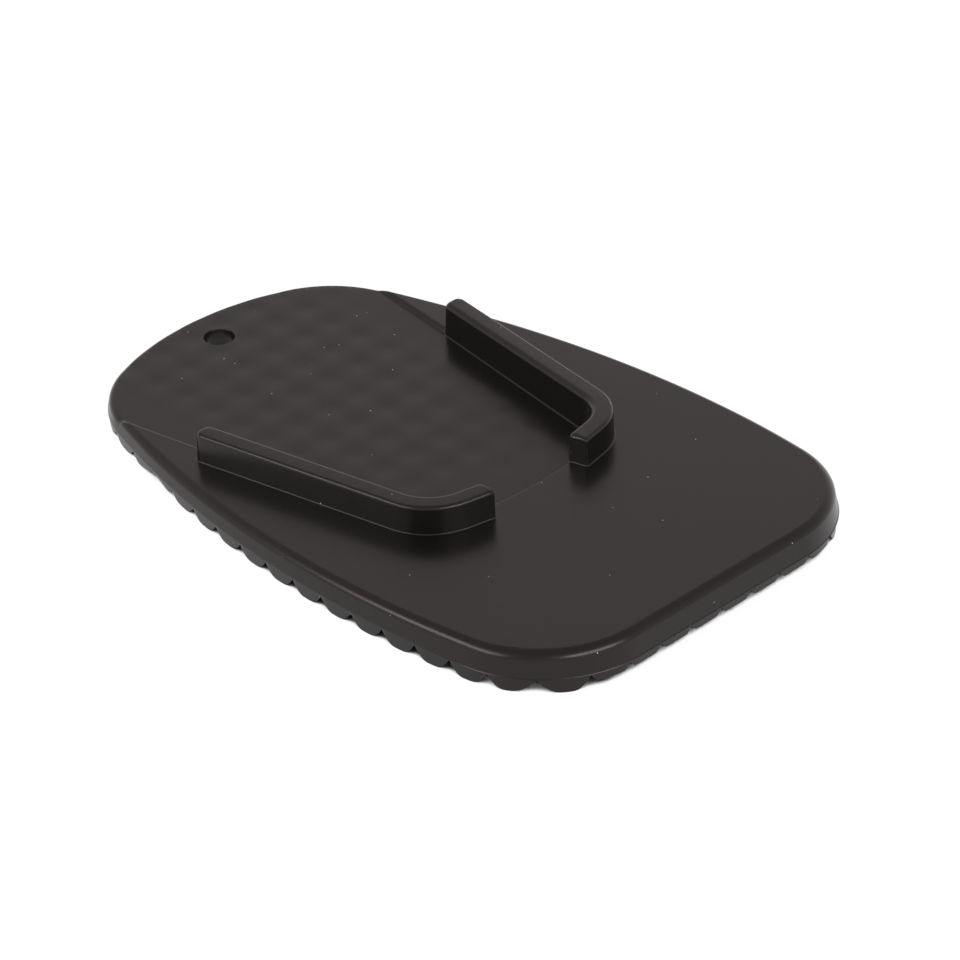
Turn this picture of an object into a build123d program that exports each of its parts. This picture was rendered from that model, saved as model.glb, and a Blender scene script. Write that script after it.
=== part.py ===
from build123d import *
from math import radians, tan
import os

# Kickstand foot enlarger: one moulded pad, with two hooked rails round a tray and a lugged underside.
# It lies as it does on the ground, with +X towards its wide end and +Z up. The origin is on the ground,
# under the middle of its length and width. All lengths are in millimetres, and angles in degrees.

# Outline of the lugs at the parting line, where the skirt stands on them
pad_length = 140.0
lugs_width = 91.5
widest_x = 21.0
side_radius = 230.0
tip_radius = 55.0
shoulder_radius = 22.5
corner_radius = 22.5

# Heights above the ground at the origin, and the rise of each level for a millimetre along X
parting_height = 2.4
parting_rise = 0.0100
web_thickness = 2.55
face_height = 6.4
face_rise = 0.0255

# Skirt, and the rounded edges of the face and of the tray's open end
skirt_draft = 10.0
face_edge_radius = 1.3
tray_edge_radius = 0.8

# Rails: the middle line of the one at +Y, from its mouth by its knee to the tip of its hook
rail_mouth_x = -30.2
rail_mouth_y = 32.2
knee_x = 20.8
knee_y = 23.6
hook_tip_x = 23.35
hook_tip_y = 11.2
knee_radius = 10.0

# Section of a rail: its width is taken at the face, and it is rounder towards the tray
rail_width = 4.5
rail_height = 5.8
rail_draft = 2.0
rail_outer_radius = 0.5
rail_inner_radius = 1.2
rail_end_radius = 0.45

# Tray between the rails: its front edge bows out to this place on the middle line, and its edge at the
# face lies a little behind the rails' inner faces
tray_front_x = 22.4
tray_setback = 0.2
tray_draft = 5.0

# Lugs: a square lattice of blocks, parted by valleys and cut off by the outline
lug_pitch = 7.64
lug_column_offset = 1.5
lug_draft = 4.0
front_ledge = 0.2
valley_rim = 0.5
valley_waist_width = 2.6
valley_waist_drop = 1.3
valley_mouth_width = 5.2
valley_mouth_drop = 2.2

# Hole for a lanyard, on the middle line
lanyard_hole_diameter = 6.0
lanyard_hole_from_tip = 9.0

# How far a cutter passes what it cuts, and how far a joined shape runs into what it joins
overrun = 1.0


def sloped_plane(height, rise):
    """A plane at this height above the origin, rising along X."""
    return Plane(origin=(0, 0, height), x_dir=(1, 0, rise), z_dir=(-rise, 0, 1))


ground = Plane.XY
parting = sloped_plane(parting_height, parting_rise)
face = sloped_plane(face_height, face_rise)

half_length = pad_length / 2
tallest = face_height + rail_height + face_rise * pad_length
skirt_flare = tan(radians(skirt_draft))
wedge = (face_rise - parting_rise) * half_length
skirt_at_tip = face_height - parting_height - wedge
skirt_at_front = face_height - parting_height + wedge
outline_front = half_length - (skirt_at_front - skirt_at_tip) * skirt_flare


def pad_outline(beyond=0.0):
    """Two long side arcs, a tip arc and a straight front, with rounded shoulders and corners.

    It lies this far beyond the outline of the lugs, all round.
    """
    side = Pos(widest_x, lugs_width / 2 - side_radius) * Circle(side_radius + beyond)
    other_side = mirror(side, about=Plane.XZ)
    tip_middle = Pos(tip_radius - half_length, 0)
    front_length = outline_front + beyond + half_length - tip_radius
    front = Rectangle(front_length, 2 * (tip_radius + beyond), align=(Align.MIN, Align.CENTER))
    sharp = side & other_side & (tip_middle * Circle(tip_radius + beyond) + tip_middle * front)
    rounded = fillet(sharp.vertices().sort_by(Axis.X)[:2], shoulder_radius + beyond)
    rounded = fillet(rounded.vertices().sort_by(Axis.X)[-2:], corner_radius + beyond)
    return make_face(rounded.edges())


def round_rim(body, radius):
    """Rounds the edge of a body's top face."""
    return fillet(body.faces().sort_by(Axis.Z)[-1].edges(), radius)


def face_plate():
    """The pad up to its face, with a skirt square to it that overhangs the outline but for the tip."""
    depth = skirt_at_front + overrun
    foot = pad_outline((depth - skirt_at_tip) * skirt_flare)
    plate = extrude(face.offset(-depth) * foot, amount=depth, taper=skirt_draft)
    return round_rim(split(plate, bisect_by=parting, keep=Keep.TOP), face_edge_radius)


def tray_plate(outline):
    """The pad up to the tray's floor, with a skirt that stands on the outline."""
    plate = extrude(parting * outline, amount=web_thickness, taper=skirt_draft)
    return round_rim(plate, tray_edge_radius)


# The rail at +Y in plan: its corners, and the bend that rounds its knee
rail_mouth = Vector(rail_mouth_x, rail_mouth_y)
knee = Vector(knee_x, knee_y)
hook_tip = Vector(hook_tip_x, hook_tip_y)
rail_way = (knee - rail_mouth).normalized()
hook_way = (hook_tip - knee).normalized()
knee_turn = rail_way.get_angle(hook_way)
bend_reach = knee_radius * tan(radians(knee_turn / 2))
bend_start = knee - rail_way * bend_reach
bend_end = knee + hook_way * bend_reach
rail_root = face_height - parting_height - web_thickness + overrun


def inward(way):
    """The direction square to a rail's way, towards the tray."""
    return Vector(way.Y, -way.X)


def rail_section(place, way):
    """The rail's drafted section, rounded at the top, at a place along its middle line."""
    flare = tan(radians(rail_draft))
    root = rail_width / 2 + rail_root * flare
    crown = rail_width / 2 - rail_height * flare
    corners = [(-root, -rail_root), (root, -rail_root), (crown, rail_height), (-crown, rail_height)]
    section = Polygon(*corners, align=None)
    inner_corner, outer_corner = section.vertices().sort_by(Axis.Y)[-2:].sort_by(Axis.X)
    section = fillet(inner_corner, rail_inner_radius)
    outer_corner = section.vertices().sort_by_distance((crown, rail_height))[0]
    section = fillet(outer_corner, rail_outer_radius)
    return Plane(origin=place, x_dir=inward(way) * -1, z_dir=way) * section


def rail():
    """The rail at +Y, standing on the plane of the face and rooted below it: a run, a bend and a hook."""
    run = extrude(rail_section(rail_mouth, rail_way), amount=(bend_start - rail_mouth).length)
    bend_axis = Axis(bend_start + inward(rail_way) * knee_radius, (0, 0, -1))
    bend = revolve(rail_section(bend_start, rail_way), axis=bend_axis, revolution_arc=knee_turn)
    hook = extrude(rail_section(bend_end, hook_way), amount=(hook_tip - bend_end).length)
    bar = run + bend + hook
    mouth_end = bar.faces().sort_by(Axis(rail_mouth, rail_way))[0]
    hook_end = bar.faces().sort_by(Axis(knee, hook_way))[-1]
    ends = mouth_end.edges() + hook_end.edges()
    return fillet(ends.filter_by(lambda edge: edge.center().Z > -rail_root + overrun / 2), rail_end_radius)


def tray_plan():
    """The tray's edge at the face: along the rails' inner faces, with a bowed front between the hooks.

    Where a rail stands, the edge runs along the rail's middle line instead, inside the rail.
    """
    in_rail = rail_mouth + rail_way * rail_width
    in_hook = hook_tip - hook_way * rail_width / 2
    edge_reach = rail_width / 2 - tray_setback
    side_end = in_rail + inward(rail_way) * edge_reach
    side_start = side_end - rail_way * pad_length
    front_end = in_hook + inward(hook_way) * edge_reach
    with BuildSketch() as plan:
        with BuildLine():
            FilletPolyline(in_rail, knee, in_hook, radius=knee_radius)
            Polyline(in_hook, front_end)
            Polyline(in_rail, side_end, side_start)
            mirror(about=Plane.XZ)
            ThreePointArc(front_end, (tray_front_x, 0), (front_end.X, -front_end.Y))
            Line(side_start, (side_start.X, -side_start.Y))
        make_face()
    return plan.sketch


def valley_profile():
    """Half of a valley between two rows of lugs, from its top line down past the ground."""
    slope = (valley_mouth_width - valley_waist_width) / 2 / (valley_mouth_drop - valley_waist_drop)
    return [
        (0, 0),
        (valley_waist_width / 2, -valley_waist_drop),
        (valley_mouth_width / 2, -valley_mouth_drop),
        (valley_mouth_width / 2 + slope * overrun, -valley_mouth_drop - overrun),
    ]


def valleys():
    """The valleys across the pad and along it, and the ledge before the first row."""
    right_side = valley_profile()
    left_side = [(-run, drop) for run, drop in right_side]
    whole = right_side[:0:-1] + left_side
    ledge = [(lug_pitch, right_side[-1][1]), (lug_pitch, 0)] + left_side
    first_row = outline_front - front_ledge
    rows = int((first_row + half_length) / lug_pitch) + 1
    columns = int(lugs_width / lug_pitch) + 2
    first_column = lug_column_offset - lug_pitch * (columns // 2 + 0.5)
    across = Plane(origin=(first_row, lugs_width, -valley_rim), x_dir=(1, 0, 0), z_dir=(0, -1, 0))
    along = Plane(origin=(-pad_length, first_column, -valley_rim), x_dir=(0, 1, 0), z_dir=(1, 0, 0))
    ledge_cut = extrude(across * Polygon(*ledge, align=None), amount=2 * lugs_width)
    row_cut = extrude(across * Polygon(*whole, align=None), amount=2 * lugs_width)
    column_cut = extrude(along * Polygon(*whole, align=None), amount=2 * pad_length)
    cutters = [ledge_cut]
    cutters += [Pos(-row * lug_pitch, 0) * row_cut for row in range(1, rows)]
    cutters += [Pos(0, column * lug_pitch) * column_cut for column in range(columns + 1)]
    return [parting * cutter for cutter in cutters]


outline = pad_outline()
tray_space = extrude(face * tray_plan(), amount=-tallest, taper=tray_draft)
collar = face_plate() - tray_space
tray = tray_plate(outline) & tray_space
lugs = split(extrude(parting * outline, amount=-tallest, taper=lug_draft), bisect_by=ground, keep=Keep.TOP)
one_rail = face * rail()
pad = collar + tray + (lugs - valleys())
pad = pad + one_rail + mirror(one_rail, about=Plane.XZ)
hole_x = lanyard_hole_from_tip - half_length
pad = pad - Pos(hole_x, 0) * Cylinder(lanyard_hole_diameter / 2, 2 * tallest)

os.makedirs("parts", exist_ok=True)
export_step(pad, "parts/kickstand_pad.step")
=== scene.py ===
import math
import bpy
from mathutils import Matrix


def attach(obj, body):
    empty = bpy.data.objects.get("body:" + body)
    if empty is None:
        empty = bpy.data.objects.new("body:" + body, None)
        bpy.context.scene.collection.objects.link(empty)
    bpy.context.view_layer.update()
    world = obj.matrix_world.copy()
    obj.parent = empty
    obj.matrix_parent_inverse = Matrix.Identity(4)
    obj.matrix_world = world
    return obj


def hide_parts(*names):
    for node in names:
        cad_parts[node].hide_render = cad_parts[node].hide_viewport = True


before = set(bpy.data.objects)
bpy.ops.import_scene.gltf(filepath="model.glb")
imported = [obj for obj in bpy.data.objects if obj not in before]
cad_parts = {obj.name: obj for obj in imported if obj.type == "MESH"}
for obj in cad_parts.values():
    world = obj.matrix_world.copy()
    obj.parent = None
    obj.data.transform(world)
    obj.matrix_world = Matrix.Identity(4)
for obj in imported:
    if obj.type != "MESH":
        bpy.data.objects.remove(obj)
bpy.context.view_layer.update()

from types import SimpleNamespace

import bmesh
import bpy
import numpy as np
from bpy.props import FloatProperty, FloatVectorProperty, PointerProperty
from mathutils import Matrix, Vector
from mathutils.geometry import delaunay_2d_cdt

bl_info = {
    "name": "Kickstand Foot Enlarger",
    "version": (1, 0, 0),
    "blender": (4, 5, 0),
    "location": "3D View > Sidebar > Kickstand Pad",
    "description": "Builds a moulded kickstand pad in satin black plastic, and a plain studio round it",
    "category": "Add Mesh",
}

MILLIMETRE = 0.001
PAD_NODE = "kickstand_pad"
PAD_BODY = "root"


def measure(unit, scale):
    """A maker of properties in a unit, whose defaults are given on a scale of their own."""

    def maker(name, description, value):
        default = value * scale
        return FloatProperty(name=name, description=description, default=default, unit=unit, precision=5)

    return maker


length = measure("LENGTH", MILLIMETRE)
angle = measure("ROTATION", math.radians(1))
power = measure("POWER", 1)
share = measure("NONE", 1)


def colour(name, description, value):
    """A colour that a user may change."""
    return FloatVectorProperty(
        name=name, description=description, default=value, subtype="COLOR", size=3, min=0.0, max=1.0,
    )


class OutlineSizes(bpy.types.PropertyGroup):
    """The pad's outline at the parting line, where the skirt stands on the lugs."""

    pad_length: length("Length", "From the tip to the front, over the skirt", 140.0)
    lugs_width: length("Width", "Across the lugs at the widest place", 91.5)
    widest_x: length("Widest place", "Where the pad is widest, along X", 21.0)
    side_radius: length("Side radius", "Radius of the two long sides", 230.0)
    tip_radius: length("Tip radius", "Radius of the narrow end", 55.0)
    shoulder_radius: length("Shoulder radius", "Between the tip and a side", 22.5)
    corner_radius: length("Corner radius", "Between a side and the front", 22.5)


class LevelSizes(bpy.types.PropertyGroup):
    """Heights at the origin, their rise along X, and the edges of skirt and face."""

    parting_height: length("Parting line", "Height of the parting line at the origin", 2.4)
    parting_rise: share("Parting rise", "Rise of parting line and tray along X", 0.0100)
    web_thickness: length("Web", "Thickness of the tray above the parting line", 2.55)
    face_height: length("Face", "Height of the face at the origin", 6.4)
    face_rise: share("Face rise", "Rise of the face along X", 0.0255)
    skirt_draft: angle("Skirt draft", "How far the skirt leans in", 10.0)
    face_edge_radius: length("Face edge", "Rounding of the face's edge", 1.8)
    tray_edge_radius: length("Tray edge", "Rounding of the tray's open end", 0.9)
    flash_width: length("Flash", "How far the flash stands out at the parting line", 0.12)
    flash_height: length("Flash height", "Height of the flash", 0.15)


class RailSizes(bpy.types.PropertyGroup):
    """The rails: the middle line of the one at +Y, and the section that both share."""

    mouth_x: length("Mouth X", "Where the rail starts, along X", -30.2)
    mouth_y: length("Mouth Y", "Where the rail starts, along Y", 32.2)
    knee_x: length("Knee X", "Where the hook turns in, along X", 20.8)
    knee_y: length("Knee Y", "Where the hook turns in, along Y", 23.6)
    hook_tip_x: length("Hook tip X", "Where the hook ends, along X", 23.35)
    hook_tip_y: length("Hook tip Y", "Where the hook ends, along Y", 11.2)
    knee_radius: length("Knee radius", "Radius of the middle line at the knee", 10.0)
    rail_width: length("Width", "Width of a rail at the face", 4.5)
    rail_height: length("Height", "Height of a rail above the face", 5.8)
    rail_draft: angle("Side draft", "How far a rail's sides lean in", 2.0)
    end_draft: angle("End draft", "How far a rail's ends lean in", 0.8)
    rail_outer_radius: length("Outer edge", "Rounding of the top edge away from the tray", 0.65)
    rail_inner_radius: length("Inner edge", "Rounding of the top edge towards the tray", 1.1)
    rail_crown: length("Crown", "How far the top falls off towards its outer edge", 0.2)
    mouth_corner_radius: length("Mouth corners", "Rounding of the upright edges at the mouth", 1.5)
    hook_outer_corner: length("Outer hook corner", "Rounding of the hook's outer upright edge", 0.4)
    hook_inner_corner: length("Inner hook corner", "Rounding of the hook's inner upright edge", 1.2)
    rail_foot_radius: length("Foot", "Fillet where a rail meets face and tray", 0.32)


class TraySizes(bpy.types.PropertyGroup):
    """The tray between the rails, and the lanyard hole in it."""

    tray_front_x: length("Front", "Where the front edge bows out to, on the middle line", 22.0)
    tray_setback: length("Setback", "How far the edge lies behind the rails' inner faces", 0.2)
    tray_draft: angle("Step draft", "How far the step down to the tray leans", 5.0)
    tray_turn: angle("Edge turn", "How far the edge turns in past the rails' mouths", 1.3)
    step_radius: length("Step edge", "Rounding of the step's upper edge", 0.8)
    step_fillet: length("Step foot", "Fillet at the step's foot", 0.35)
    sink_depth: length("Sink marks", "Depth of the tray's sink marks above the lugs", 0.11)
    hole_diameter: length("Lanyard hole", "Diameter of the lanyard hole", 6.0)
    hole_from_tip: length("Hole from tip", "From the tip to the middle of the hole", 9.0)
    hole_edge_radius: length("Hole edge", "Rounding of the hole's upper edge", 0.15)


class LugSizes(bpy.types.PropertyGroup):
    """The lattice of lugs under the pad."""

    lug_pitch: length("Pitch", "From one lug to the next", 7.64)
    lug_column_offset: length("Column offset", "A lug's middle from the pad's middle line", 3.5)
    front_ledge: length("Front ledge", "From the outline's front back to the lattice", 0.2)
    front_cut: length("Front cut", "How much of the first row's slope is filled", 1.0)
    lug_inset: length("Inset", "How far the lugs stand in from the skirt's foot", 0.03)
    valley_rim: length("Rim", "How far the valleys stay below the parting line", 0.2)
    lug_lean: length("Cut lean", "How far the outline's cut leans in over a lug's height", 0.08)
    lug_crown: share("Crown", "Power of a lug's profile: more is flatter", 2.7)
    lug_blend: share("Blend", "How softly a lug's sides blend", 0.15)


class PlasticLook(bpy.types.PropertyGroup):
    """The satin black plastic."""

    black: colour("Black", "Colour of the plastic", (0.0054, 0.0049, 0.0048))
    sheen: colour("Sheen", "Colour of the plastic's reflections", (1.0, 0.89, 0.87))
    dust: colour("Dust", "Colour of the dust", (0.60, 0.58, 0.56))
    refraction: share("Refraction", "Index of refraction", 1.40)
    roughness: share("Roughness", "Roughness of the moulded surface", 0.25)
    roughness_spread: share("Roughness spread", "How far the roughness varies either way", 0.04)
    grain_size: length("Grain", "Size of the mould's grain", 0.40)
    grain_height: length("Grain height", "Height of the grain", 0.013)
    dust_spacing: length("Dust spacing", "From one speck of dust to the next", 4.0)
    dust_size: length("Dust size", "Radius of a speck of dust", 0.10)


class StudioLook(bpy.types.PropertyGroup):
    """The camera, the floor and the light."""

    azimuth: angle("Azimuth", "Where the camera stands", 45.719)
    elevation: angle("Elevation", "How far the camera looks down", 32.371)
    roll: angle("Roll", "How far the camera leans", -1.2395)
    distance: length("Distance", "From the camera to what it looks at", 840.165)
    target: FloatVectorProperty(
        name="Target", description="What the camera looks at", subtype="TRANSLATION", size=3,
        default=(0.010966, -0.001330, 0.003900), unit="LENGTH",
    )
    lens: share("Lens", "Focal length in millimetres, on a 36 mm sensor", 173.29)
    surround: colour("Surround", "Colour of the surround", (1.0, 0.92, 0.91))
    horizon: share("Horizon", "Brightness of the surround at the horizon", 0.98)
    zenith: share("Zenith", "Brightness of the surround overhead", 0.56)
    falloff: share("Falloff", "How soon the surround darkens upwards: below 1 is sooner", 0.80)
    paper: colour("Paper", "Colour of the floor", (0.9, 0.9, 0.9))
    paper_white: share("Paper white", "How much of the floor's white stays free of shadow", 0.88)
    # How far the floor's painted contact shadow reaches: the ambient occlusion distance that darkens its
    # glow near the pad
    contact: length("Contact shadow", "How far the pad darkens the floor", 4.0)
    left_azimuth: angle("Left azimuth", "Where the left softbox stands", -18.0)
    right_azimuth: angle("Right azimuth", "Where the right softbox stands", 86.0)
    softbox_elevation: angle("Softbox elevation", "How high the softboxes stand", 28.0)
    softbox_distance: length("Softbox distance", "From a softbox to the pad", 1000.0)
    softbox_width: length("Softbox width", "Width of a softbox", 800.0)
    softbox_height: length("Softbox height", "Height of a softbox", 250.0)
    left_watts: power("Left light", "Power of the left softbox", 3.5)
    right_watts: power("Right light", "Power of the right softbox", 4.2)


SHAPE_GROUPS = {
    "outline": OutlineSizes,
    "levels": LevelSizes,
    "rails": RailSizes,
    "tray": TraySizes,
    "lugs": LugSizes,
}
ALL_GROUPS = {**SHAPE_GROUPS, "plastic": PlasticLook, "studio": StudioLook}


class KickstandPadSettings(bpy.types.PropertyGroup):
    """Everything that a user may change, by group."""

    __annotations__ = {name: PointerProperty(type=group) for name, group in ALL_GROUPS.items()}


def shape_sizes(settings):
    """All the pad's sizes in one place, with lengths in millimetres and the draft angles as slopes."""
    sizes = SimpleNamespace()
    for group_name, group_class in SHAPE_GROUPS.items():
        group = getattr(settings, group_name)
        for name in group_class.__annotations__:
            value = getattr(group, name)
            unit = group.bl_rna.properties[name].unit
            if unit == "LENGTH":
                value = value / MILLIMETRE
            elif unit == "ROTATION":
                value = math.tan(value)
            setattr(sizes, name, value)
    half_length = sizes.pad_length / 2
    wedge = (sizes.face_rise - sizes.parting_rise) * sizes.pad_length
    sizes.tip_x = -half_length
    sizes.outline_front = half_length - wedge * sizes.skirt_draft
    sizes.hole_x = sizes.tip_x + sizes.hole_from_tip
    sizes.hole_radius = sizes.hole_diameter / 2
    sizes.first_row = sizes.outline_front - sizes.front_ledge
    return sizes


def mix(low, high, passed):
    """A value part of the way from one to another."""
    return low + (high - low) * passed


def smooth_step(low, high, value):
    """0 up to one value and 1 from another, with a soft passage between."""
    passed = np.clip((value - low) / (high - low), 0, 1)
    return passed * passed * (3 - 2 * passed)


def round_max(a, b, radius):
    """Where both of two solids are: their shared edge is rounded."""
    corner = np.hypot(np.maximum(a + radius, 0), np.maximum(b + radius, 0))
    return np.minimum(np.maximum(a, b), -radius) + corner


def round_min(a, b, radius):
    """Where either of two solids is: the corner between them is filleted."""
    return -round_max(-a, -b, radius)


def parting_level(sizes, x):
    """The parting line's height."""
    return sizes.parting_height + sizes.parting_rise * x


def tray_level(sizes, x):
    """The tray's height, without its sink marks."""
    return parting_level(sizes, x) + sizes.web_thickness


def face_level(sizes, x):
    """The face's height."""
    return sizes.face_height + sizes.face_rise * x


def skirt_overhang(sizes, x):
    """How far the skirt's foot stands out over the outline: nothing at the tip, most at the front."""
    lift = (sizes.face_rise - sizes.parting_rise) * (x - sizes.tip_x)
    return np.maximum(lift * sizes.skirt_draft, 0)


# Where the lugs draw in from the skirt, as shares of the way from the origin to the front
DRAW_IN = (0.5, 0.8)


def toward_front(sizes, x):
    """0 along the sides, where lugs and skirt are flush, and 1 where the front's corners begin."""
    return smooth_step(*DRAW_IN, x / sizes.outline_front)


def lug_reach(sizes, x):
    """How far the lugs stand out over the outline: flush with the skirt's foot, but for the front."""
    return skirt_overhang(sizes, x) * (1 - toward_front(sizes, x)) - sizes.lug_inset


class PadOutline:
    """The outline as a chain of arcs, from the tip by shoulder, side and corner to the straight front."""

    # The arc from whose centre each joint of the chain is found
    JOINT_ARCS = (0, 2, 2, 3)

    def __init__(self, sizes):
        tip = Vector((sizes.tip_x + sizes.tip_radius, 0))
        side = Vector((sizes.widest_x, sizes.lugs_width / 2 - sizes.side_radius))
        tip_reach = sizes.tip_radius - sizes.shoulder_radius
        side_reach = sizes.side_radius - sizes.shoulder_radius
        apart = (side - tip).length
        along = (tip_reach ** 2 - side_reach ** 2 + apart ** 2) / (2 * apart)
        across = math.sqrt(tip_reach ** 2 - along ** 2)
        way = (side - tip) / apart
        shoulder = tip + way * along - way.orthogonal() * across
        corner_x = sizes.outline_front - sizes.corner_radius
        corner_reach = sizes.side_radius - sizes.corner_radius
        corner = Vector((corner_x, side.y + math.sqrt(corner_reach ** 2 - (corner_x - side.x) ** 2)))
        self.front = sizes.outline_front
        self.centres = [tip, shoulder, side, corner]
        self.radii = [sizes.tip_radius, sizes.shoulder_radius, sizes.side_radius, sizes.corner_radius]
        self.joint_normals = [
            (shoulder - tip).normalized(),
            (shoulder - side).normalized(),
            (corner - side).normalized(),
            Vector((1, 0)),
        ]

    def samples(self, spacing):
        """Points and outward normals all round, as arrays of x, y, normal x and normal y."""
        half = []
        start = math.pi
        for centre, radius, normal in zip(self.centres, self.radii, self.joint_normals):
            end = math.atan2(normal.y, normal.x)
            steps = math.ceil((start - end) * radius / spacing)
            for step in range(steps):
                turn = start + (end - start) * step / steps
                way = Vector((math.cos(turn), math.sin(turn)))
                half.append((*(centre + way * radius), *way))
            start = end
        corner = self.centres[-1]
        steps = math.ceil(corner.y / spacing)
        for step in range(steps + 1):
            half.append((*Vector((self.front, corner.y * (1 - step / steps))), 1, 0))
        mirrored = [(x, -y, normal_x, -normal_y) for x, y, normal_x, normal_y in half[-2:0:-1]]
        return np.array(half + mirrored).T

    def distance(self, x, y):
        """How far points lie outside the outline, and below zero how far inside it."""
        y = np.abs(y)
        region = np.zeros(x.shape, dtype=int)
        passed = np.ones(x.shape, dtype=bool)
        for arc, normal in zip(self.JOINT_ARCS, self.joint_normals):
            joint = self.centres[arc] + normal * self.radii[arc]
            passed = passed & ((x - joint.x) * normal.y - (y - joint.y) * normal.x > 0)
            region += passed
        from_arcs = [
            np.hypot(x - centre.x, y - centre.y) - radius
            for centre, radius in zip(self.centres, self.radii)
        ]
        return np.choose(region, from_arcs + [x - self.front])


class RailLine:
    """The middle line of the rail at +Y: a run, a bend and a hook. Across it, outward is positive."""

    def __init__(self, sizes):
        self.mouth = Vector((sizes.mouth_x, sizes.mouth_y))
        knee = Vector((sizes.knee_x, sizes.knee_y))
        hook_tip = Vector((sizes.hook_tip_x, sizes.hook_tip_y))
        self.run_way = (knee - self.mouth).normalized()
        self.hook_way = (hook_tip - knee).normalized()
        self.run_out = self.run_way.orthogonal()
        self.hook_out = self.hook_way.orthogonal()
        self.radius = sizes.knee_radius
        turn = self.run_way.angle(self.hook_way)
        reach = self.radius * math.tan(turn / 2)
        bend_start = knee - self.run_way * reach
        self.bend_end = knee + self.hook_way * reach
        self.bend_centre = bend_start - self.run_out * self.radius
        self.run_length = (bend_start - self.mouth).length
        self.hook_start = self.run_length + turn * self.radius
        self.length = self.hook_start + (hook_tip - self.bend_end).length

    def place(self, along, across):
        """The plan point at a distance along the line and across it."""
        if along <= self.run_length:
            return self.mouth + self.run_way * along + self.run_out * across
        past_bend = along - self.hook_start
        if past_bend >= 0:
            return self.bend_end + self.hook_way * past_bend + self.hook_out * across
        turned = Matrix.Rotation((self.run_length - along) / self.radius, 2) @ self.run_out
        return self.bend_centre + turned * (self.radius + across)

    def coordinates(self, x, y):
        """How far along the line and across it plan points lie. Both rails share them, by symmetry."""
        y = np.abs(y)

        def reach(origin, way):
            return (x - origin.x) * way.x + (y - origin.y) * way.y

        run_along = reach(self.mouth, self.run_way)
        run_across = reach(self.mouth, self.run_out)
        hook_along = reach(self.bend_end, self.hook_way)
        hook_across = reach(self.bend_end, self.hook_out)
        turn = np.arctan2(reach(self.bend_centre, self.run_way), reach(self.bend_centre, self.run_out))
        bend_across = np.hypot(x - self.bend_centre.x, y - self.bend_centre.y) - self.radius
        on_hook = hook_along >= 0
        run_nearer = np.where(on_hook, run_across >= hook_across, True)
        choose_run = (run_along <= self.run_length) & run_nearer
        choose_hook = on_hook & ~choose_run
        bend_along = self.run_length + turn * self.radius
        along = np.where(choose_hook, self.hook_start + hook_along, bend_along)
        across = np.where(choose_hook, hook_across, bend_across)
        return np.where(choose_run, run_along, along), np.where(choose_run, run_across, across)


class TrayFront:
    """The tray's front edge: an arc between the hooks, through a point on the middle line."""

    ARC_POINTS = 37

    def __init__(self, sizes, line):
        into_hook = line.length - sizes.rail_width / 2
        self.end = line.place(into_hook, sizes.tray_setback - sizes.rail_width / 2)
        bow = sizes.tray_front_x
        self.centre_x = (bow ** 2 - self.end.x ** 2 - self.end.y ** 2) / (2 * (bow - self.end.x))
        self.radius = bow - self.centre_x

    def past(self, x, y):
        """How far plan points lie past the edge, which turns away inside the hooks."""
        inside_hook = np.maximum(np.abs(y) - self.end.y, 0)
        return np.hypot(x - self.centre_x, y) - self.radius - inside_hook

    def points(self, past, reach_y):
        """Plan points along the edge, moved past it by a distance, out to Y on either side."""
        radius = self.radius + past
        widest = math.asin(reach_y / radius)
        turns = np.linspace(-widest, widest, self.ARC_POINTS)
        return self.centre_x + radius * np.cos(turns), radius * np.sin(turns)


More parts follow.
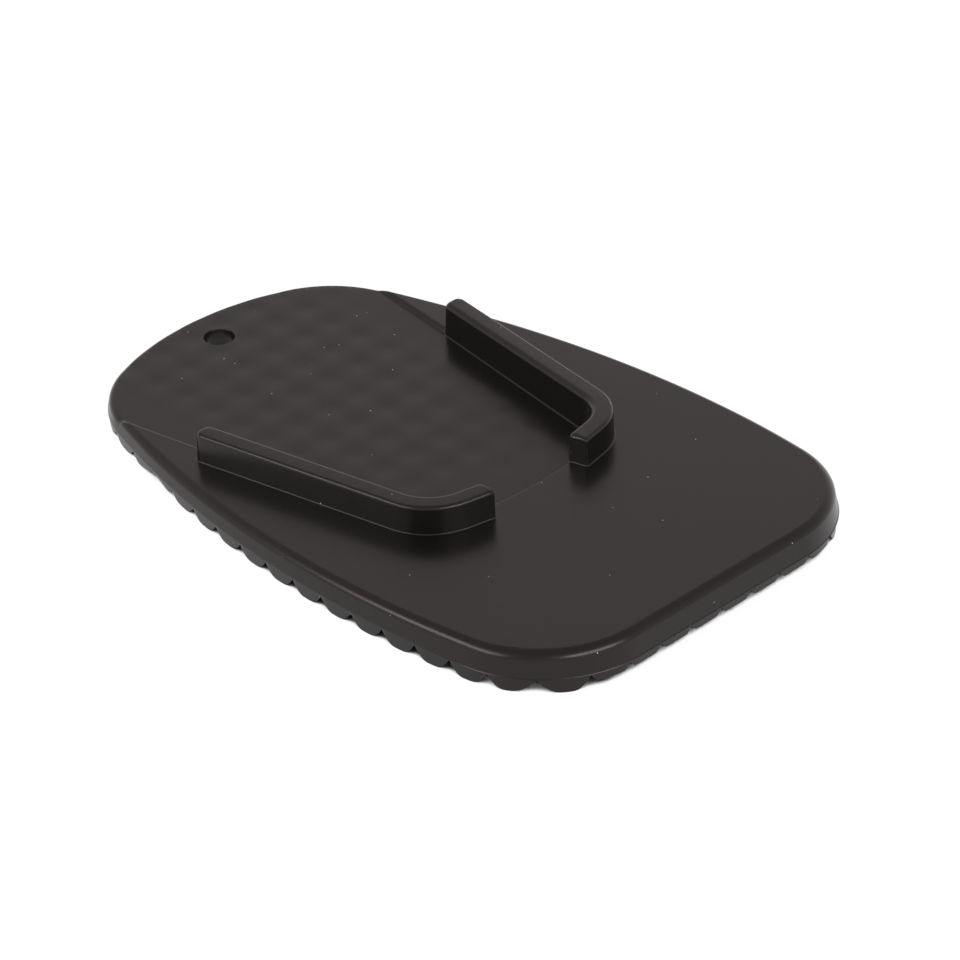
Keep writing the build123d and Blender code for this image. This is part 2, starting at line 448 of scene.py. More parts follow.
class PadTop:
    """The pad's upper side, as the height of its skin over each plan point."""

    # Half the width over which the tray's rim passes into the face's, and a rail's inner top edge
    # into its outer one, in millimetres
    RIM_BLEND = 0.6
    RAIL_BLEND = 1.0
    # Where the rim's rounding grows from the tip, as shares of half the length
    ROUNDING_GROWS = (-0.95, -0.45)
    # Where the sink marks fade to the front and to the sides, in millimetres from the origin
    SINK_FADE_X = (0, 22)
    SINK_FADE_Y = (18, 30)
    # How much the ridges between the sink marks dip where they cross
    SINK_CROSS = 0.15
    # How far past the pad's levels its skin is looked for, and how often that stretch is halved
    SEARCH_MARGIN = 0.2
    HALVINGS = 44

    def __init__(self, sizes):
        self.sizes = sizes
        self.outline = PadOutline(sizes)
        self.line = RailLine(sizes)
        self.front = TrayFront(sizes, self.line)
        self.edge_reach = sizes.rail_width / 2 - sizes.tray_setback

    def outside_tray(self, x, y):
        """How far plan points lie outside the tray, whose edge follows the middle line inside a rail."""
        along, across = self.line.coordinates(x, y)
        inside_rail = np.maximum(along, 0)
        turned_in = self.sizes.tray_turn * np.maximum(-along, 0)
        beside = across + np.maximum(self.edge_reach - inside_rail, 0) + turned_in
        return np.maximum(beside, self.front.past(x, y))

    def rim(self, x, y):
        """How far plan points lie on the face, the rounding of the skirt's edge there, and its flash."""
        sizes = self.sizes
        on_face = smooth_step(-self.RIM_BLEND, self.RIM_BLEND, self.outside_tray(x, y))
        rounded = on_face * smooth_step(*self.ROUNDING_GROWS, 2 * x / sizes.pad_length)
        radius = mix(sizes.tray_edge_radius, sizes.face_edge_radius, rounded)
        return on_face, radius, sizes.flash_width * toward_front(sizes, x)

    def sink_marks(self, x, y):
        """Shallow hollows in the tray's floor above the lugs, fading to the front and the sides."""
        sizes = self.sizes
        rows = -np.cos(2 * math.pi * (x - sizes.first_row) / sizes.lug_pitch)
        columns = np.cos(2 * math.pi * (y - sizes.lug_column_offset) / sizes.lug_pitch)
        lattice = (1 + rows) * (1 + columns) / 4 - self.SINK_CROSS * rows * columns
        fade_x = 1 - smooth_step(*self.SINK_FADE_X, x)
        fade_y = 1 - smooth_step(*self.SINK_FADE_Y, np.abs(y))
        return sizes.sink_depth * lattice * (fade_x * fade_y)

    def solid(self, x, y):
        """A function of height that is below zero inside the pad, for these plan points."""
        sizes = self.sizes
        face = face_level(sizes, x)
        tray = tray_level(sizes, x) - self.sink_marks(x, y)
        parting = parting_level(sizes, x)
        outside = self.outside_tray(x, y)
        along, across = self.line.coordinates(x, y)
        skirt_foot = self.outline.distance(x, y) - skirt_overhang(sizes, x)
        in_hole = -from_hole(sizes, x, y)
        _, edge_radius, flash = self.rim(x, y)
        on_inner = smooth_step(-self.RAIL_BLEND, self.RAIL_BLEND, -across)
        top_radius = mix(sizes.rail_outer_radius, sizes.rail_inner_radius, on_inner)
        hook_corner = mix(sizes.hook_outer_corner, sizes.hook_inner_corner, on_inner)
        to_outer_edge = np.clip(across, 0, None) * 2 / sizes.rail_width
        rail_top = sizes.rail_height - sizes.rail_crown * to_outer_edge ** 2

        def rail(height):
            past_side = np.abs(across) - sizes.rail_width / 2 + height * sizes.rail_draft
            past_mouth = -along + height * sizes.end_draft
            past_hook = along - self.line.length + height * sizes.end_draft
            past_wall = np.maximum(
                round_max(past_side, past_mouth, sizes.mouth_corner_radius),
                round_max(past_side, past_hook, hook_corner),
            )
            return round_max(height - rail_top, past_wall, top_radius)

        def solid_at(height):
            past_step = -outside - (face - height) * sizes.tray_draft
            past_wall = skirt_foot + flash + (height - parting) * sizes.skirt_draft
            past_flash = skirt_foot + (height - parting) * flash / sizes.flash_height
            collar = round_max(height - face, past_step, sizes.step_radius)
            plate = round_min(collar, height - tray, sizes.step_fillet)
            plate = round_max(plate, past_wall, edge_radius)
            plate = np.minimum(plate, np.maximum(past_flash, height - parting - 2 * sizes.flash_height))
            plate = round_max(plate, in_hole, sizes.hole_edge_radius)
            return round_min(plate, rail(height - face), sizes.rail_foot_radius)

        return solid_at

    def heights(self, x, y):
        """The skin's height over plan points, found by halving."""
        solid_at = self.solid(x, y)
        low = parting_level(self.sizes, x) - self.SEARCH_MARGIN
        high = face_level(self.sizes, x) + self.sizes.rail_height + self.SEARCH_MARGIN
        for _ in range(self.HALVINGS):
            middle = (low + high) / 2
            inside = solid_at(middle) < 0
            low = np.where(inside, middle, low)
            high = np.where(inside, high, middle)
        return low


class PlanDrawing:
    """Points and lines drawn in plan, which become a mesh of triangles that keeps every line."""

    # Points nearer than this are one, in millimetres
    TOLERANCE = 0.0005
    # Triangles whose middles lie within this share of the hole's radius fill the hole
    IN_HOLE = 0.995

    def __init__(self):
        self.points = []
        self.edges = []

    def scatter(self, x, y):
        """Loose points."""
        self.points.extend(Vector((float(a), float(b))) for a, b in zip(x, y))

    def line(self, x, y):
        """A line through points."""
        first = len(self.points)
        self.scatter(x, y)
        self.edges.extend((index, index + 1) for index in range(first, len(self.points) - 1))

    def loop(self, x, y):
        """A closed line through points."""
        first = len(self.points)
        self.line(x, y)
        self.edges.append((len(self.points) - 1, first))

    def triangles(self, hole_x, hole_radius):
        """The mesh inside the outermost loop and outside the hole: x, y and triples of indices."""
        inside_loops = 1
        found = delaunay_2d_cdt(self.points, self.edges, [], inside_loops, self.TOLERANCE, False)
        x, y = np.array(found[0], dtype=float).T
        corners = np.array(found[2])
        reach = np.hypot(x[corners].mean(axis=1) - hole_x, y[corners].mean(axis=1))
        return x, y, corners[reach > hole_radius * self.IN_HOLE]


# How finely the skin is drawn: lengths in millimetres, and counts of lines and points
RING_SPACING = 0.6
ROUTE_SPACING = 0.02
HOLE_SIDES = 64
EDGE_LINES = 9
FOOT_STEPS = 4
TOP_STEPS = 6
CORNER_POINTS = 8
RUN_POINTS = 30
BEND_POINTS = 24
HOOK_POINTS = 6
END_POINTS = 7
POINTS_PER_LUG = 8
VALLEY_STEPS = 160
# The lattice is drawn this many lugs out from its middle, and cut off by the outline
LATTICE_REACH = 8
# Lines past the tray's edge and past the hole's wall, closer where the skin turns
STEP_LINES = (1.0, 0.8, 0.6, 0.42, 0.28, 0.16, 0.07, 0.0, -0.07, -0.15, -0.28, -0.5)
HOLE_LINES = (0.0005, 0.02, 0.06, 0.12, 0.2, 0.29, 0.36)
# The least radius of a rail's upright edges
LEAST_CORNER = 0.06
# How far the step's lines run into a rail, and stay inside the outline
STEP_INTO_RAIL = 0.4
STEP_FROM_EDGE = 0.15
# How far the tray's loose points keep from its step and rails, the outline and the hole
FLOOR_FROM_STEP = 0.8
FLOOR_FROM_EDGE = 2.2
FLOOR_FROM_HOLE = 0.7
# How far the underside's loose points keep from its cut and the hole, and its valleys from the hole
LUGS_FROM_CUT = 0.25
LUGS_FROM_HOLE = 0.3
VALLEYS_FROM_HOLE = 0.4
# Points of upper side and underside nearer than this are joined
JOIN_DISTANCE = 0.002
# Edges sharper than this stay sharp in the shading
SHARP_ANGLE = math.radians(38)


def hole_ring(sizes, past):
    """Plan points round the lanyard hole, at a distance past its wall."""
    turns = np.linspace(0, 2 * math.pi, HOLE_SIDES, endpoint=False)
    radius = sizes.hole_radius + past
    return sizes.hole_x + radius * np.cos(turns), radius * np.sin(turns)


def from_hole(sizes, x, y):
    """How far plan points lie from the lanyard hole's wall."""
    return np.hypot(x - sizes.hole_x, y) - sizes.hole_radius


def draw_skirt(drawing, top):
    """Lines round the skirt: its foot, the top of its flash and the rounding of its edge."""
    sizes = top.sizes
    x, y, normal_x, normal_y = top.outline.samples(RING_SPACING)
    foot = skirt_overhang(sizes, x)
    on_face, radius, flash = top.rim(x, y)
    level = mix(tray_level(sizes, x), face_level(sizes, x), on_face)
    sharp_edge = foot - (level - parting_level(sizes, x)) * sizes.skirt_draft
    wall_angle = math.atan(sizes.skirt_draft)
    tangent = math.tan((math.pi / 2 - wall_angle) / 2)
    flash_foot = foot - flash - sizes.flash_height * sizes.skirt_draft
    reaches = [foot, (foot + flash_foot) / 2, flash_foot]
    for turn in np.linspace(wall_angle, math.pi / 2, EDGE_LINES):
        reaches.append(sharp_edge - flash - radius * (tangent - math.cos(turn)))
    for reach in reaches:
        drawing.loop(x + normal_x * reach, y + normal_y * reach)


def rail_offsets(sizes):
    """A rail's lines from its foot to its top: how far each lies outward, inward and past the ends."""
    half_width = sizes.rail_width / 2
    step_down = sizes.web_thickness + sizes.parting_height - sizes.face_height
    inner_foot = half_width - step_down * sizes.rail_draft
    offsets = []
    for turn in np.linspace(0, math.pi / 2, FOOT_STEPS + 1):
        spread = sizes.rail_foot_radius * (1 - math.sin(turn))
        offsets.append((half_width + spread, inner_foot + spread, spread))
    end_radius = (sizes.rail_outer_radius + sizes.rail_inner_radius) / 2
    outer_lean = (sizes.rail_height - sizes.rail_outer_radius) * sizes.rail_draft
    inner_lean = (sizes.rail_height - sizes.rail_inner_radius) * sizes.rail_draft
    end_lean = (sizes.rail_height - end_radius) * sizes.end_draft
    for turn in np.linspace(0, math.pi / 2, TOP_STEPS + 1):
        cut = 1 - math.cos(turn)
        offsets.append((
            half_width - outer_lean - sizes.rail_outer_radius * cut,
            half_width - inner_lean - sizes.rail_inner_radius * cut,
            -end_lean - end_radius * cut,
        ))
    return offsets


def draw_rails(drawing, top):
    """Lines round both rails: the fillet at the foot, the wall, and the rounding at the top."""
    sizes = top.sizes
    corners = (sizes.mouth_corner_radius, sizes.hook_outer_corner, sizes.hook_inner_corner)
    for outer, inner, past_end in rail_offsets(sizes):
        radii = [max(corner + past_end, LEAST_CORNER) for corner in corners]
        path = rail_loop(top.line, outer, -inner, past_end, *radii)
        x, y = np.array(path, dtype=float).T
        drawing.loop(x, y)
        drawing.loop(x, -y)


def rail_loop(line, outer, inner, past_end, mouth, hook_outer, hook_inner):
    """Plan points round a rail, at distances across it and past its ends, with these corner radii."""
    start = -past_end
    end = line.length + past_end
    quarter = np.linspace(0, math.pi / 2, CORNER_POINTS)[1:-1]

    def side(across, end_corner):
        run = np.linspace(start + mouth, line.run_length, RUN_POINTS)
        bend = np.linspace(line.run_length, line.hook_start, BEND_POINTS)[1:]
        hook = np.linspace(line.hook_start, end - end_corner, HOOK_POINTS)[1:]
        return [(along, across) for along in np.concatenate([run, bend, hook])]

    def corner(along, across, radius, way_along, way_across):
        return [
            (
                along - way_along * radius * (1 - math.sin(turn)),
                across - way_across * radius * (1 - math.cos(turn)),
            )
            for turn in quarter
        ]

    path = side(outer, hook_outer)
    path += corner(end, outer, hook_outer, 1, 1)
    path += [(end, across) for across in np.linspace(outer - hook_outer, inner + hook_inner, END_POINTS)]
    path += corner(end, inner, hook_inner, 1, -1)[::-1]
    path += side(inner, hook_inner)[::-1]
    path += corner(start, inner, mouth, -1, -1)
    path += [(start, across) for across in np.linspace(inner + mouth, outer - mouth, END_POINTS)]
    path += corner(start, outer, mouth, -1, 1)[::-1]
    return [line.place(along, across) for along, across in path]


def draw_tray(drawing, top):
    """Lines along the tray's step and round the hole."""
    sizes = top.sizes
    line = top.line
    away = np.arange(0, sizes.pad_length, ROUTE_SPACING)
    for past in STEP_LINES:
        across = past - top.edge_reach - sizes.tray_turn * away
        route_x = line.mouth.x - line.run_way.x * away + line.run_out.x * across
        route_y = line.mouth.y - line.run_way.y * away + line.run_out.y * across
        inside = top.outline.distance(route_x, route_y) < -STEP_FROM_EDGE
        ends = [0, np.argmin(inside) - 1]
        in_rail = line.place(STEP_INTO_RAIL, past - top.edge_reach)
        points_x = np.append(in_rail.x, route_x[ends])
        points_y = np.append(in_rail.y, route_y[ends])
        drawing.line(points_x, points_y)
        drawing.line(points_x, -points_y)
        drawing.line(*top.front.points(past, sizes.hook_tip_y))
    for past in HOLE_LINES:
        drawing.loop(*hole_ring(sizes, past))


def lug_grid(sizes):
    """Plan points all over the lattice of lugs, several to each."""
    spacing = sizes.lug_pitch / POINTS_PER_LUG
    reach = LATTICE_REACH * sizes.lug_pitch
    rows = np.arange(sizes.first_row, sizes.tip_x, -spacing)
    columns = np.arange(sizes.lug_column_offset - reach, reach, spacing)
    return (grid.ravel() for grid in np.meshgrid(rows, columns))


def scatter_floor(drawing, top):
    """Points over the tray's floor, for the sink marks."""
    sizes = top.sizes
    x, y = lug_grid(sizes)
    _, across = top.line.coordinates(x, y)
    clear = top.outside_tray(x, y) < -FLOOR_FROM_STEP
    clear &= across < -sizes.rail_width / 2 - FLOOR_FROM_STEP
    clear &= top.outline.distance(x, y) < -FLOOR_FROM_EDGE
    clear &= from_hole(sizes, x, y) > FLOOR_FROM_HOLE
    drawing.scatter(x[clear], y[clear])


def top_mesh(sizes):
    """The upper side's mesh: corner points in millimetres and triangles."""
    top = PadTop(sizes)
    drawing = PlanDrawing()
    for draw in (draw_skirt, draw_rails, draw_tray, scatter_floor):
        draw(drawing, top)
    x, y, corners = drawing.triangles(sizes.hole_x, sizes.hole_radius)
    on_foot = top.outline.distance(x, y) > skirt_overhang(sizes, x) - JOIN_DISTANCE
    z = np.where(on_foot, parting_level(sizes, x), top.heights(x, y))
    return np.column_stack([x, y, z]), corners


def draw_valley(drawing, sizes, outline, x, y):
    """A valley's line, cut off just inside the outline and clear of the hole."""
    inside = outline.distance(x, y) < lug_reach(sizes, x) - sizes.lug_lean / 2
    inside &= from_hole(sizes, x, y) > VALLEYS_FROM_HOLE
    breaks = np.nonzero(np.diff(inside.astype(int)))[0] + 1
    for stretch in np.split(np.arange(len(x)), breaks):
        if inside[stretch[0]] and len(stretch) > 1:
            ends = stretch[[0, -1]]
            drawing.line(x[ends], y[ends])


def underside_plan(sizes):
    """The underside as it is before its lugs: points at the parting line, triangles and lug shares."""
    outline = PadOutline(sizes)
    drawing = PlanDrawing()
    x, y, normal_x, normal_y = outline.samples(RING_SPACING)
    cut = lug_reach(sizes, x)
    for reach in (skirt_overhang(sizes, x), cut, cut - sizes.lug_lean):
        drawing.loop(x + normal_x * reach, y + normal_y * reach)
    drawing.loop(*hole_ring(sizes, HOLE_LINES[0]))
    pitch = sizes.lug_pitch
    rows = np.arange(sizes.first_row, sizes.tip_x, -pitch)
    columns = sizes.lug_column_offset + pitch * (np.arange(-LATTICE_REACH, LATTICE_REACH) + 0.5)
    route_y = np.arange(-sizes.lugs_width / 2, sizes.lugs_width / 2, pitch / VALLEY_STEPS)
    route_x = np.arange(sizes.tip_x, sizes.outline_front, pitch / VALLEY_STEPS)
    for row in rows:
        draw_valley(drawing, sizes, outline, np.full(route_y.shape, row), route_y)
    for column in columns:
        draw_valley(drawing, sizes, outline, route_x, np.full(route_x.shape, column))
    x, y = lug_grid(sizes)
    clear = outline.distance(x, y) < lug_reach(sizes, x) - sizes.lug_lean - LUGS_FROM_CUT
    clear &= from_hole(sizes, x, y) > LUGS_FROM_HOLE
    drawing.scatter(x[clear], y[clear])
    x, y, corners = drawing.triangles(sizes.hole_x, sizes.hole_radius)
    lug_share = np.clip((lug_reach(sizes, x) - outline.distance(x, y)) / sizes.lug_lean, 0, 1)
    return np.column_stack([x, y, parting_level(sizes, x)]), corners, lug_share


def show(thing):
    """Puts an object into the scene."""
    bpy.context.scene.collection.objects.link(thing)


def mesh_object(name, points, corners):
    """An object in the scene with this mesh, given in millimetres."""
    mesh = bpy.data.meshes.new(name)
    mesh.from_pydata((points * MILLIMETRE).tolist(), [], corners.tolist())
    mesh.validate()
    piece = bpy.data.objects.new(name, mesh)
    show(piece)
    return piece


def plain_mesh(thing):
    """The mesh that an object has with its modifiers."""
    evaluated = thing.evaluated_get(bpy.context.evaluated_depsgraph_get())
    return bpy.data.meshes.new_from_object(evaluated)


class NodeBench:
    """Adds nodes to a tree, sets their sockets and links them."""

    def __init__(self, tree):
        self.tree = tree
        tree.nodes.clear()

    def put(self, socket, value):
        """Links a socket to an output, or sets it to a value."""
        if isinstance(value, bpy.types.NodeSocket):
            self.tree.links.new(value, socket)
        else:
            socket.default_value = value

    def add(self, kind, settings=None, **sockets):
        """A new node. Sockets go by their names, with _ for a space."""
        node = self.tree.nodes.new(kind)
        for name, value in (settings or {}).items():
            setattr(node, name, value)
        for name, value in sockets.items():
            self.put(node.inputs[name.replace("_", " ")], value)
        return node

    def math(self, operation, *values):
        """The output of a Math node with these values or outputs."""
        node = self.add("ShaderNodeMath", {"operation": operation})
        for socket, value in zip(node.inputs, values):
            self.put(socket, value)
        return node.outputs[0]


def lug_tree(input_names, material):
    """A tree that pushes a square lattice of lugs down from a plan, by each point's share of a lug."""
    tree = bpy.data.node_groups.new("Lug lattice", "GeometryNodeTree")
    for way in ("INPUT", "OUTPUT"):
        tree.interface.new_socket("Geometry", in_out=way, socket_type="NodeSocketGeometry")
    for name in input_names:
        tree.interface.new_socket(name, in_out="INPUT", socket_type="NodeSocketFloat")
    bench = NodeBench(tree)
    calc = bench.math
    given = bench.add("NodeGroupInput").outputs
    position = bench.add("GeometryNodeInputPosition").outputs[0]
    place = bench.add("ShaderNodeSeparateXYZ", Vector=position).outputs
    half_pitch = calc("MULTIPLY", given["Pitch"], 0.5)

    def profile(from_valley):
        """A lug's height across one direction, from nothing in the valley to 1 at its crown."""
        across = calc("DIVIDE", calc("PINGPONG", from_valley, half_pitch), half_pitch)
        short = calc("MAXIMUM", calc("SUBTRACT", 1.0, across), 0.0)
        return calc("SUBTRACT", 1.0, calc("POWER", short, given["Crown"]))

    behind_front = calc("SUBTRACT", given["First Row"], place["X"])
    behind_front = calc("MAXIMUM", behind_front, given["Front Cut"])
    beside = calc("ABSOLUTE", calc("SUBTRACT", place["Y"], given["Middle Valley"]))
    beside = calc("MINIMUM", beside, given["Last Crown"])
    dome = calc("SMOOTH_MIN", profile(behind_front), profile(beside), given["Blend"])
    # The smooth minimum of two equal values lies a sixth of the blend below them
    crown_height = calc("SUBTRACT", 1.0, calc("DIVIDE", given["Blend"], 6.0))
    lug = calc("MAXIMUM", calc("DIVIDE", dome, crown_height), 0.0)
    below_rim = calc("SUBTRACT", place["Z"], given["Rim"])
    drop = calc("ADD", given["Rim"], calc("MULTIPLY", below_rim, lug))
    lug_share = bench.add("GeometryNodeInputNamedAttribute", {"data_type": "FLOAT"}, Name="lug_share")
    down = calc("MULTIPLY", calc("MULTIPLY", drop, lug_share.outputs[0]), -1.0)
    offset = bench.add("ShaderNodeCombineXYZ", Z=down).outputs[0]
    pushed = bench.add("GeometryNodeSetPosition", Geometry=given["Geometry"], Offset=offset)
    realized = bench.add("GeometryNodeRealizeInstances", Geometry=pushed.outputs[0])
    finished = bench.add("GeometryNodeSetMaterial", Geometry=realized.outputs[0], Material=material)
    bench.add("NodeGroupOutput", Geometry=finished.outputs[0])
    return tree


def underside(sizes, material):
    """The lugged underside as a plain mesh."""
    points, corners, lug_share = underside_plan(sizes)
    plan = mesh_object("underside_plan", points, corners)
    shares = plan.data.attributes.new("lug_share", "FLOAT", "POINT")
    shares.data.foreach_set("value", lug_share.astype(np.float32))
    half_pitch = sizes.lug_pitch / 2
    side_lugs = round(sizes.lugs_width / sizes.lug_pitch / 2)
    values = {
        "Pitch": sizes.lug_pitch * MILLIMETRE,
        "First Row": sizes.first_row * MILLIMETRE,
        "Front Cut": sizes.front_cut * MILLIMETRE,
        "Middle Valley": (sizes.lug_column_offset - half_pitch) * MILLIMETRE,
        "Last Crown": (2 * side_lugs - 1) * half_pitch * MILLIMETRE,
        "Rim": sizes.valley_rim * MILLIMETRE,
        "Crown": sizes.lug_crown,
        "Blend": sizes.lug_blend,
    }
    lattice = plan.modifiers.new("Lug lattice", "NODES")
    lattice.node_group = lug_tree(values, material)
    sockets = {item.name: item.identifier for item in lattice.node_group.interface.items_tree}
    for name, value in values.items():
        lattice[sockets[name]] = value
    mesh = plain_mesh(plan)
    bpy.data.objects.remove(plan)
    return mesh


def close_skin(piece, bottom):
    """Joins the underside to the upper side at the skirt's foot, and closes the hole's wall."""
    joined = bmesh.new()
    joined.from_mesh(piece.data)
    joined.from_mesh(bottom)
    bmesh.ops.remove_doubles(joined, verts=joined.verts, dist=JOIN_DISTANCE * MILLIMETRE)
    open_edges = [edge for edge in joined.edges if edge.is_boundary]
    bmesh.ops.bridge_loops(joined, edges=open_edges)
    bmesh.ops.triangulate(joined, faces=joined.faces)
    bmesh.ops.recalc_face_normals(joined, faces=joined.faces)
    still_open = [edge for edge in joined.edges if not edge.is_manifold]
    if still_open:
        raise RuntimeError(f"The pad isn't closed: {len(still_open)} edges are open")
    for face in joined.faces:
        face.smooth = True
    joined.to_mesh(piece.data)
    joined.free()


def moulded_pad(sizes, material):
    """The whole pad as one closed piece: the upper side, the lugged underside and the hole's wall."""
    points, corners = top_mesh(sizes)
    piece = mesh_object("moulded_pad", points, corners)
    piece.data.materials.append(material)
    bottom = underside(sizes, material)
    close_skin(piece, bottom)
    bpy.data.meshes.remove(bottom)
    piece.data.set_sharp_from_angle(angle=SHARP_ANGLE)
    weighted = piece.modifiers.new("Flat faces", "WEIGHTED_NORMAL")
    weighted.keep_sharp = True
    finished = plain_mesh(piece)
    piece.modifiers.remove(weighted)
    piece.data = finished
    return piece


# Clouds of smoother and rougher plastic, to the metre
CLOUD_SCALE = 90.0


def satin_black_plastic(look):
    """Satin plastic, nearly black, with the mould's fine grain and a few specks of dust."""
    material = bpy.data.materials.new("satin_black_plastic")
    material.use_nodes = True
    bench = NodeBench(material.node_tree)
    place = bench.add("ShaderNodeTexCoord").outputs["Object"]
    grain_scale = 1 / look.grain_size
    grain = bench.add("ShaderNodeTexNoise", Vector=place, Scale=grain_scale, Detail=3.0, Roughness=0.6)
    height = grain.outputs["Fac"]
    bump = bench.add("ShaderNodeBump", Height=height, Strength=1.0, Distance=look.grain_height)
    cloud = bench.add("ShaderNodeTexNoise", Vector=place, Scale=CLOUD_SCALE, Detail=4.0, Roughness=0.55)
    roughness = bench.add(
        "ShaderNodeMapRange", Value=cloud.outputs["Fac"],
        To_Min=look.roughness - look.roughness_spread, To_Max=look.roughness + look.roughness_spread,
    )
    specks = bench.add("ShaderNodeTexVoronoi", Vector=place, Scale=1 / look.dust_spacing)
    dusty = bench.math("LESS_THAN", specks.outputs["Distance"], look.dust_size / look.dust_spacing)
    tint = bench.add(
        "ShaderNodeMix", {"data_type": "RGBA"}, Factor=dusty, A=(*look.black, 1.0), B=(*look.dust, 1.0),
    )
    shader = bench.add(
        "ShaderNodeBsdfPrincipled", Base_Color=tint.outputs["Result"], Roughness=roughness.outputs[0],
        Normal=bump.outputs[0], IOR=look.refraction, Specular_Tint=(*look.sheen, 1.0),
    )
    bench.add("ShaderNodeOutputMaterial", Surface=shader.outputs[0])
    return material


def seen_directly(bench):
    """1 for rays from the camera, from glossy surfaces and through clear ones, and 0 for the rest."""
    path = bench.add("ShaderNodeLightPath").outputs
    mirrored = bench.math("MAXIMUM", path["Is Camera Ray"], path["Is Glossy Ray"])
    return bench.math("MAXIMUM", mirrored, path["Is Transmission Ray"])


def pale_surround(look):
    """A plain warm surround, pale at the horizon and darker overhead."""
    world = bpy.data.worlds.new("pale_surround")
    world.use_nodes = True
    bench = NodeBench(world.node_tree)
    way = bench.add("ShaderNodeTexCoord").outputs["Generated"]
    height = bench.add("ShaderNodeSeparateXYZ", Vector=way).outputs["Z"]
    above = bench.math("POWER", bench.math("MAXIMUM", height, 0.0), look.falloff)
    strength = bench.add("ShaderNodeMapRange", Value=above, To_Min=look.horizon, To_Max=look.zenith)
    tint = (*look.surround, 1.0)
    background = bench.add("ShaderNodeBackground", Color=tint, Strength=strength.outputs[0])
    bench.add("ShaderNodeOutputWorld", Surface=background.outputs[0])
    bpy.context.scene.world = world


# How open the floor is where its painted shadow is darkest, and where the painted shadow ends and the
# floor turns white and glows
FULL_PAINTED_SHADOW_OPENNESS = 0.18
NO_PAINTED_SHADOW_OPENNESS = 0.34
PAPER_GLOW = 1.06
FLOOR_HALF = 3000.0


def floor_with_painted_shadow(look):
    """A floor that shows white in the open, with a painted shadow: its glow is darkened by ambient
    occlusion where the pad closes it in.
    """
    material = bpy.data.materials.new("floor_with_painted_shadow")
    material.use_nodes = True
    bench = NodeBench(material.node_tree)
    paper = bench.add("ShaderNodeBsdfDiffuse", Color=(*look.paper, 1.0))
    # Painted contact shadow: ambient occlusion near the pad darkens the floor's glow, as camera and
    # glossy rays see it
    openness_for_painted_shadow = bench.add("ShaderNodeAmbientOcclusion", Distance=look.contact).outputs["AO"]
    painted_shadow_glow_strength = bench.add(
        "ShaderNodeMapRange", {"interpolation_type": "SMOOTHSTEP"}, Value=openness_for_painted_shadow,
        From_Min=FULL_PAINTED_SHADOW_OPENNESS, From_Max=NO_PAINTED_SHADOW_OPENNESS, To_Max=PAPER_GLOW,
    )
    glow_with_painted_shadow = bench.add("ShaderNodeEmission", Strength=painted_shadow_glow_strength.outputs[0])
    shown = bench.math("MULTIPLY", seen_directly(bench), look.paper_white)
    mixed = bench.add("ShaderNodeMixShader", Fac=shown)
    bench.put(mixed.inputs[1], paper.outputs[0])
    bench.put(mixed.inputs[2], glow_with_painted_shadow.outputs[0])
    bench.add("ShaderNodeOutputMaterial", Surface=mixed.outputs[0])
    corners = np.array([(-1, -1, 0), (1, -1, 0), (1, 1, 0), (-1, 1, 0)])
    floor = mesh_object("floor", corners * FLOOR_HALF, np.array([(0, 1, 2, 3)]))
    floor.data.materials.append(material)


def way_out(azimuth, elevation):
    """The direction from the pad to what stands at these angles."""
    level = math.cos(elevation)
    return Vector((math.sin(azimuth) * level, -math.cos(azimuth) * level, math.sin(elevation)))


def place_camera(look):
    """The camera at its azimuth, elevation and roll."""
    back = way_out(look.azimuth, look.elevation)
    right = Vector((math.cos(look.azimuth), math.sin(look.azimuth), 0))
    level = Matrix((right, back.cross(right), back)).transposed()
    turned = (level @ Matrix.Rotation(look.roll, 3, "Z")).to_4x4()
    camera = bpy.data.objects.new("camera", bpy.data.cameras.new("camera"))
    camera.data.lens = look.lens
    camera.matrix_world = Matrix.Translation(Vector(look.target) + back * look.distance) @ turned
    show(camera)
    bpy.context.scene.camera = camera


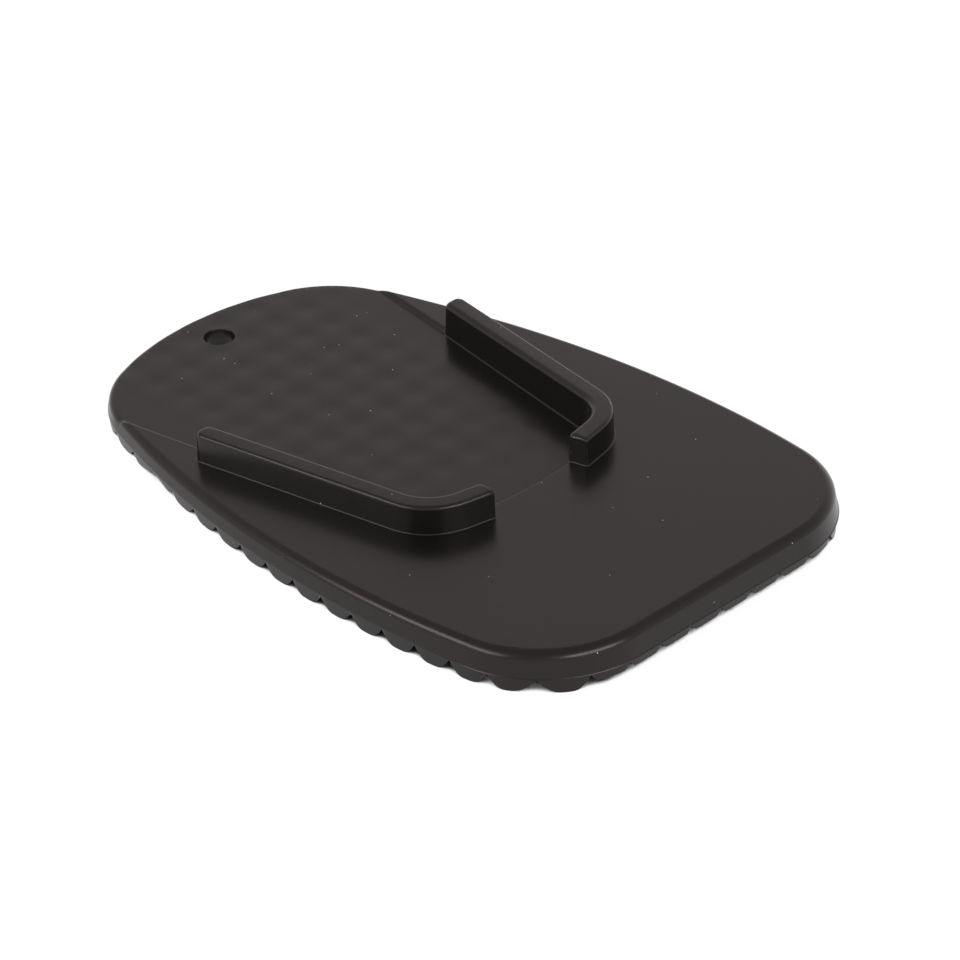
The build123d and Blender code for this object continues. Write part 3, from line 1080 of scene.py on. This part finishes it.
def place_softbox(look, name, azimuth, watts):
    """A wide, low soft light that faces the pad from this azimuth."""
    light = bpy.data.lights.new(name, "AREA")
    light.shape = "RECTANGLE"
    light.size = look.softbox_width
    light.size_y = look.softbox_height
    light.energy = watts
    softbox = bpy.data.objects.new(name, light)
    away = way_out(azimuth, look.softbox_elevation)
    softbox.location = away * look.softbox_distance
    softbox.rotation_euler = (-away).to_track_quat("-Z", "Y").to_euler()
    show(softbox)


class KICKSTAND_OT_pad(bpy.types.Operator):
    """Build the moulded pad in place of its solid."""

    bl_idname = "kickstand.pad"
    bl_label = "Moulded pad"

    def execute(self, context):
        settings = context.scene.kickstand_pad
        material = satin_black_plastic(settings.plastic)
        piece = moulded_pad(shape_sizes(settings), material)
        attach(piece, PAD_BODY)
        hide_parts(PAD_NODE)
        return {"FINISHED"}


class KICKSTAND_OT_studio(bpy.types.Operator):
    """Set up the white floor, the soft light and the camera."""

    bl_idname = "kickstand.studio"
    bl_label = "Studio"

    def execute(self, context):
        look = context.scene.kickstand_pad.studio
        context.scene.view_settings.view_transform = "Standard"
        pale_surround(look)
        floor_with_painted_shadow(look)
        place_softbox(look, "softbox_left", look.left_azimuth, look.left_watts)
        place_softbox(look, "softbox_right", look.right_azimuth, look.right_watts)
        place_camera(look)
        return {"FINISHED"}


class KICKSTAND_PT_panel(bpy.types.Panel):
    """The sizes, and a button for each step."""

    bl_idname = "KICKSTAND_PT_panel"
    bl_label = "Kickstand Pad"
    bl_space_type = "VIEW_3D"
    bl_region_type = "UI"
    bl_category = "Kickstand Pad"

    def draw(self, context):
        settings = context.scene.kickstand_pad
        for operator in OPERATORS:
            self.layout.operator(operator.bl_idname)
        for group_name, group_class in ALL_GROUPS.items():
            box = self.layout.box()
            box.label(text=group_name.capitalize())
            for prop_name in group_class.__annotations__:
                box.prop(getattr(settings, group_name), prop_name)


OPERATORS = (KICKSTAND_OT_pad, KICKSTAND_OT_studio)
CLASSES = (*ALL_GROUPS.values(), KickstandPadSettings, *OPERATORS, KICKSTAND_PT_panel)


def register():
    for cls in CLASSES:
        bpy.utils.register_class(cls)
    bpy.types.Scene.kickstand_pad = PointerProperty(type=KickstandPadSettings)


def unregister():
    del bpy.types.Scene.kickstand_pad
    for cls in reversed(CLASSES):
        bpy.utils.unregister_class(cls)


def main():
    register()
    bpy.ops.kickstand.pad()
    bpy.ops.kickstand.studio()


if __name__ == "__main__":
    main()
